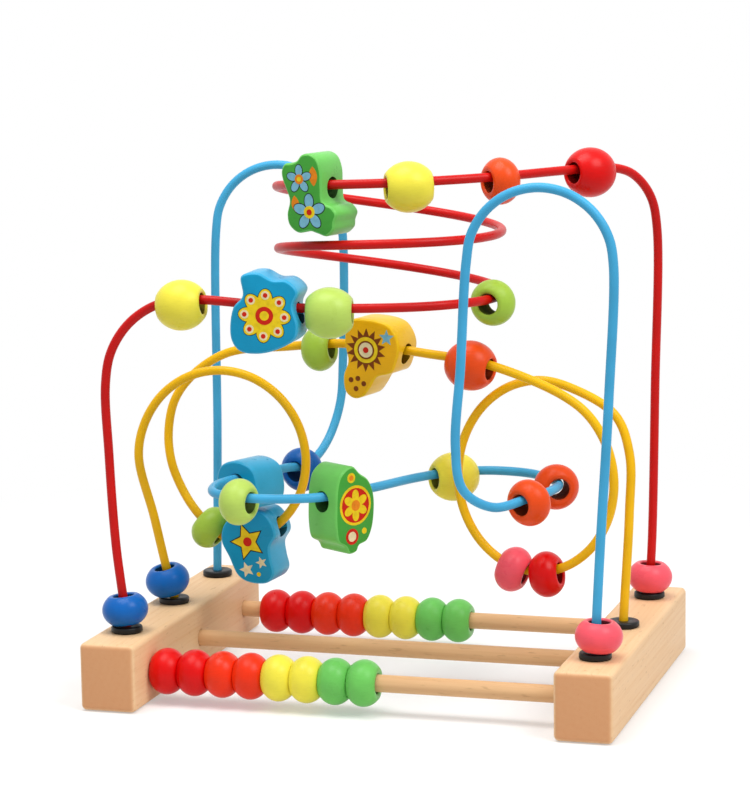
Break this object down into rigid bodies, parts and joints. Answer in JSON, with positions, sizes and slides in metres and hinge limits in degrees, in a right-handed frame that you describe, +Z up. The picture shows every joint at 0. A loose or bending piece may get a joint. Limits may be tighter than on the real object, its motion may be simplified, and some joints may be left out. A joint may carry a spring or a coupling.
{
  "type": "bead maze",
  "caption": "Bead threading toy: coloured beads and shaped blocks slide along bent wires above a wooden base whose rods carry counting beads",
  "frame": {"origin": "On the surface that the end blocks stand on, midway between the blocks and midway along them", "axes": "X from the left block to the right block, Y from front to back, Z up"},
  "size_m": [0.28, 0.2, 0.2854],
  "materials": {
    "beech": "fine-sanded and clear-oiled beech",
    "rod_wood": "fine-sanded and clear-oiled dowel",
    "black_ferrule": "moulded, satin",
    "red_wire": "smooth plastic coating, glossy",
    "blue_wire": "smooth plastic coating, glossy",
    "yellow_wire": "smooth plastic coating, glossy",
    "red_paint": "satin paint on turned wood",
    "orange_paint": "satin paint on turned wood",
    "yellow_paint": "satin paint on turned wood",
    "lime_paint": "satin paint on turned wood",
    "green_paint": "satin paint on wood",
    "blue_paint": "satin paint on turned wood",
    "pink_paint": "satin paint on turned wood",
    "sky_paint": "satin paint on sawn wood",
    "amber_paint": "satin paint on sawn wood"
  },
  "bodies": {
    "frame": {"left_block": "beech", "right_block": "beech", "front_rod": "rod_wood", "middle_rod": "rod_wood", "back_rod": "rod_wood", "left_front_ferrule": "black_ferrule", "left_middle_ferrule": "black_ferrule", "left_back_ferrule": "black_ferrule", "right_front_ferrule": "black_ferrule", "right_middle_ferrule": "black_ferrule", "right_back_ferrule": "black_ferrule", "red_wire": "red_wire", "blue_wire": "blue_wire", "yellow_wire": "yellow_wire"},
    "red_left_foot_bead": {"red_left_foot_bead": "blue_paint"},
    "red_run_yellow_bead": {"red_run_yellow_bead": "yellow_paint"},
    "red_run_blue_block": {"red_run_blue_block": "sky_paint"},
    "red_run_green_bead": {"red_run_green_bead": "lime_paint"},
    "red_coil_green_ring": {"red_coil_green_ring": "lime_paint"},
    "red_top_green_block": {"red_top_green_block": "green_paint"},
    "red_top_yellow_bead": {"red_top_yellow_bead": "yellow_paint"},
    "red_top_orange_ring": {"red_top_orange_ring": "orange_paint"},
    "red_top_red_bead": {"red_top_red_bead": "red_paint"},
    "red_right_foot_bead": {"red_right_foot_bead": "pink_paint"},
    "blue_wave_blue_ring": {"blue_wave_blue_ring": "blue_paint"},
    "blue_wave_blue_block": {"blue_wave_blue_block": "sky_paint"},
    "blue_wave_green_ring": {"blue_wave_green_ring": "lime_paint"},
    "blue_wave_green_block": {"blue_wave_green_block": "green_paint"},
    "blue_wave_yellow_bead": {"blue_wave_yellow_bead": "yellow_paint"},
    "blue_wave_orange_ring": {"blue_wave_orange_ring": "orange_paint"},
    "blue_wave_front_orange_ring": {"blue_wave_front_orange_ring": "orange_paint"},
    "blue_right_foot_bead": {"blue_right_foot_bead": "pink_paint"},
    "yellow_left_foot_bead": {"yellow_left_foot_bead": "blue_paint"},
    "yellow_loop_blue_block": {"yellow_loop_blue_block": "sky_paint"},
    "yellow_loop_green_ring": {"yellow_loop_green_ring": "lime_paint"},
    "yellow_hump_green_ring": {"yellow_hump_green_ring": "lime_paint"},
    "yellow_hump_amber_block": {"yellow_hump_amber_block": "amber_paint"},
    "yellow_hump_orange_bead": {"yellow_hump_orange_bead": "orange_paint"},
    "yellow_loop_red_ring": {"yellow_loop_red_ring": "red_paint"},
    "yellow_loop_pink_ring": {"yellow_loop_pink_ring": "pink_paint"},
    "front_counting_bead_1": {"front_counting_bead_1": "red_paint"},
    "front_counting_bead_2": {"front_counting_bead_2": "red_paint"},
    "front_counting_bead_3": {"front_counting_bead_3": "orange_paint"},
    "front_counting_bead_4": {"front_counting_bead_4": "orange_paint"},
    "front_counting_bead_5": {"front_counting_bead_5": "yellow_paint"},
    "front_counting_bead_6": {"front_counting_bead_6": "yellow_paint"},
    "front_counting_bead_7": {"front_counting_bead_7": "green_paint"},
    "front_counting_bead_8": {"front_counting_bead_8": "green_paint"},
    "back_counting_bead_1": {"back_counting_bead_1": "red_paint"},
    "back_counting_bead_2": {"back_counting_bead_2": "red_paint"},
    "back_counting_bead_3": {"back_counting_bead_3": "orange_paint"},
    "back_counting_bead_4": {"back_counting_bead_4": "orange_paint"},
    "back_counting_bead_5": {"back_counting_bead_5": "yellow_paint"},
    "back_counting_bead_6": {"back_counting_bead_6": "yellow_paint"},
    "back_counting_bead_7": {"back_counting_bead_7": "green_paint"},
    "back_counting_bead_8": {"back_counting_bead_8": "green_paint"}
  },
  "joints": [
    {"name": "red_left_foot_bead_slide", "type": "slide", "parent": "frame", "child": "red_left_foot_bead", "axis": [-0.0751, 0, 0.9972], "range_m": [0, 0.08]},
    {"name": "red_run_yellow_bead_travel", "type": "hinge", "parent": "frame", "child": "red_run_yellow_bead", "pos_m": [-0.08337, -0.06727, 0.14565], "axis": [-0.031, 0.9995, 0.009], "range_deg": [-22.6, 8.7]},
    {"name": "red_run_blue_block_slide", "type": "slide", "parent": "frame", "child": "red_run_blue_block", "axis": [0.9946, 0.0726, -0.0741], "range_m": [-0.015, 0]},
    {"name": "red_run_green_bead_travel", "type": "hinge", "parent": "frame", "child": "red_run_green_bead", "pos_m": [-0.05876, 0.23246, 0.36285], "axis": [0.081, -0.4548, 0.8869], "range_deg": [0, 6.1]},
    {"name": "red_coil_green_ring_travel", "type": "hinge", "parent": "frame", "child": "red_coil_green_ring", "pos_m": [0.00094, -0.00005, 0.21006], "axis": [0.0355, -0.0246, 0.9991], "range_deg": [-74.3, 45.9]},
    {"name": "red_top_green_block_travel", "type": "hinge", "parent": "frame", "child": "red_top_green_block", "pos_m": [-0.01301, -0.01753, 0.26715], "axis": [-0.0294, 0.056, 0.998], "range_deg": [-42.8, 34.9]},
    {"name": "red_top_yellow_bead_travel", "type": "hinge", "parent": "frame", "child": "red_top_yellow_bead", "pos_m": [-0.0235, 0.0537, 0.27108], "axis": [-0.0117, -0.019, 0.9998], "range_deg": [-10.1, 16]},
    {"name": "red_top_orange_ring_travel", "type": "hinge", "parent": "frame", "child": "red_top_orange_ring", "pos_m": [-0.07804, 0.13059, 0.27345], "axis": [-0.0057, -0.0242, 0.9997], "range_deg": [-8.2, 10.5]},
    {"name": "red_top_red_bead_slide", "type": "slide", "parent": "frame", "child": "red_top_red_bead", "axis": [0.6168, 0.7864, -0.0335], "range_m": [-0.036, 0.018]},
    {"name": "red_right_foot_bead_slide", "type": "slide", "parent": "frame", "child": "red_right_foot_bead", "axis": [0.0496, 0, 0.9988], "range_m": [0, 0.085]},
    {"name": "blue_wave_blue_ring_travel", "type": "hinge", "parent": "frame", "child": "blue_wave_blue_ring", "pos_m": [-0.07181, 0.01412, 0.17389], "axis": [-0.9376, 0.3364, -0.0885], "range_deg": [-21.6, 0.8]},
    {"name": "blue_wave_blue_block_travel", "type": "hinge", "parent": "frame", "child": "blue_wave_blue_block", "pos_m": [0.05999, -0.06644, 0.12163], "axis": [-0.0744, 0.027, 0.9969], "range_deg": [-5.4, 8.9]},
    {"name": "blue_wave_green_ring_travel", "type": "hinge", "parent": "frame", "child": "blue_wave_green_ring", "pos_m": [-0.05, -0.02696, 0.11], "axis": [0, 0, 1], "range_deg": [-12.4, 37.4]},
    {"name": "blue_wave_green_block_travel", "type": "hinge", "parent": "frame", "child": "blue_wave_green_block", "pos_m": [-0.06102, -0.01553, 0.11], "axis": [0, 0, 1], "range_deg": [-8.3, 13.8]},
    {"name": "blue_wave_yellow_bead_travel", "type": "hinge", "parent": "frame", "child": "blue_wave_yellow_bead", "pos_m": [0.05495, -0.01334, 0.11007], "axis": [0.0012, -0.0012, -1], "range_deg": [-24.9, 18.3]},
    {"name": "blue_wave_orange_ring_travel", "type": "hinge", "parent": "frame", "child": "blue_wave_orange_ring", "pos_m": [0.06092, -0.00511, 0.11065], "axis": [-0.0604, 0.0057, -0.9982], "range_deg": [-41.9, 45.7]},
    {"name": "blue_wave_front_orange_ring_travel", "type": "hinge", "parent": "frame", "child": "blue_wave_front_orange_ring", "pos_m": [0.01706, -0.00231, 0.10529], "axis": [0.0516, 0.0169, -0.9985], "range_deg": [-18.5, 13.1]},
    {"name": "blue_right_foot_bead_slide", "type": "slide", "parent": "frame", "child": "blue_right_foot_bead", "axis": [0.0494, 0, 0.9988], "range_m": [0, 0.085]},
    {"name": "yellow_left_foot_bead_slide", "type": "slide", "parent": "frame", "child": "yellow_left_foot_bead", "axis": [-0.1261, -0.1693, 0.9775], "range_m": [0, 0.045]},
    {"name": "yellow_loop_blue_block_travel", "type": "hinge", "parent": "frame", "child": "yellow_loop_blue_block", "pos_m": [-0.09417, 0.00061, 0.12012], "axis": [0.0725, 0.9969, 0.0313], "range_deg": [-3.5, 0]},
    {"name": "yellow_loop_green_ring_travel", "type": "hinge", "parent": "frame", "child": "yellow_loop_green_ring", "pos_m": [-0.06739, 0.00439, 0.12582], "axis": [0.0429, 0.9971, -0.0626], "range_deg": [0, 79.4]},
    {"name": "yellow_hump_green_ring_slide", "type": "slide", "parent": "frame", "child": "yellow_hump_green_ring", "axis": [0.991, -0.1148, 0.0695], "range_m": [-0.046, 0.011]},
    {"name": "yellow_hump_amber_block_slide", "type": "slide", "parent": "frame", "child": "yellow_hump_amber_block", "axis": [0.9829, -0.1796, -0.0409], "range_m": [-0.011, 0.024]},
    {"name": "yellow_hump_orange_bead_travel", "type": "hinge", "parent": "frame", "child": "yellow_hump_orange_bead", "pos_m": [0.04581, 0.069, 0.05909], "axis": [0.2561, 0.8029, 0.5382], "range_deg": [-5.7, 24.6]},
    {"name": "yellow_loop_red_ring_travel", "type": "hinge", "parent": "frame", "child": "yellow_loop_red_ring", "pos_m": [0.07892, -0.00406, 0.10149], "axis": [0.0855, 0.9963, 0.0035], "range_deg": [-60.3, 0]},
    {"name": "yellow_loop_pink_ring_travel", "type": "hinge", "parent": "frame", "child": "yellow_loop_pink_ring", "pos_m": [0.07954, -0.00308, 0.10325], "axis": [0.0814, 0.9964, -0.0224], "range_deg": [0, 61.9]},
    {"name": "front_counting_bead_1_slide", "type": "slide", "parent": "frame", "child": "front_counting_bead_1", "axis": [1, 0, 0], "range_m": [0, 0.0121]},
    {"name": "front_counting_bead_2_slide", "type": "slide", "parent": "front_counting_bead_1", "child": "front_counting_bead_2", "axis": [1, 0, 0], "range_m": [0, 0.0121]},
    {"name": "front_counting_bead_3_slide", "type": "slide", "parent": "front_counting_bead_2", "child": "front_counting_bead_3", "axis": [1, 0, 0], "range_m": [0, 0.0121]},
    {"name": "front_counting_bead_4_slide", "type": "slide", "parent": "front_counting_bead_3", "child": "front_counting_bead_4", "axis": [1, 0, 0], "range_m": [0, 0.0121]},
    {"name": "front_counting_bead_5_slide", "type": "slide", "parent": "front_counting_bead_4", "child": "front_counting_bead_5", "axis": [1, 0, 0], "range_m": [0, 0.0121]},
    {"name": "front_counting_bead_6_slide", "type": "slide", "parent": "front_counting_bead_5", "child": "front_counting_bead_6", "axis": [1, 0, 0], "range_m": [0, 0.0121]},
    {"name": "front_counting_bead_7_slide", "type": "slide", "parent": "front_counting_bead_6", "child": "front_counting_bead_7", "axis": [1, 0, 0], "range_m": [0, 0.0121]},
    {"name": "front_counting_bead_8_slide", "type": "slide", "parent": "front_counting_bead_7", "child": "front_counting_bead_8", "axis": [1, 0, 0], "range_m": [0, 0.0121]},
    {"name": "back_counting_bead_1_slide", "type": "slide", "parent": "frame", "child": "back_counting_bead_1", "axis": [1, 0, 0], "range_m": [-0.0116, 0.0106]},
    {"name": "back_counting_bead_2_slide", "type": "slide", "parent": "back_counting_bead_1", "child": "back_counting_bead_2", "axis": [1, 0, 0], "range_m": [0, 0.0106]},
    {"name": "back_counting_bead_3_slide", "type": "slide", "parent": "back_counting_bead_2", "child": "back_counting_bead_3", "axis": [1, 0, 0], "range_m": [0, 0.0106]},
    {"name": "back_counting_bead_4_slide", "type": "slide", "parent": "back_counting_bead_3", "child": "back_counting_bead_4", "axis": [1, 0, 0], "range_m": [0, 0.0106]},
    {"name": "back_counting_bead_5_slide", "type": "slide", "parent": "back_counting_bead_4", "child": "back_counting_bead_5", "axis": [1, 0, 0], "range_m": [0, 0.0106]},
    {"name": "back_counting_bead_6_slide", "type": "slide", "parent": "back_counting_bead_5", "child": "back_counting_bead_6", "axis": [1, 0, 0], "range_m": [0, 0.0106]},
    {"name": "back_counting_bead_7_slide", "type": "slide", "parent": "back_counting_bead_6", "child": "back_counting_bead_7", "axis": [1, 0, 0], "range_m": [0, 0.0106]},
    {"name": "back_counting_bead_8_slide", "type": "slide", "parent": "back_counting_bead_7", "child": "back_counting_bead_8", "axis": [1, 0, 0], "range_m": [0, 0.0106]}
  ]
}
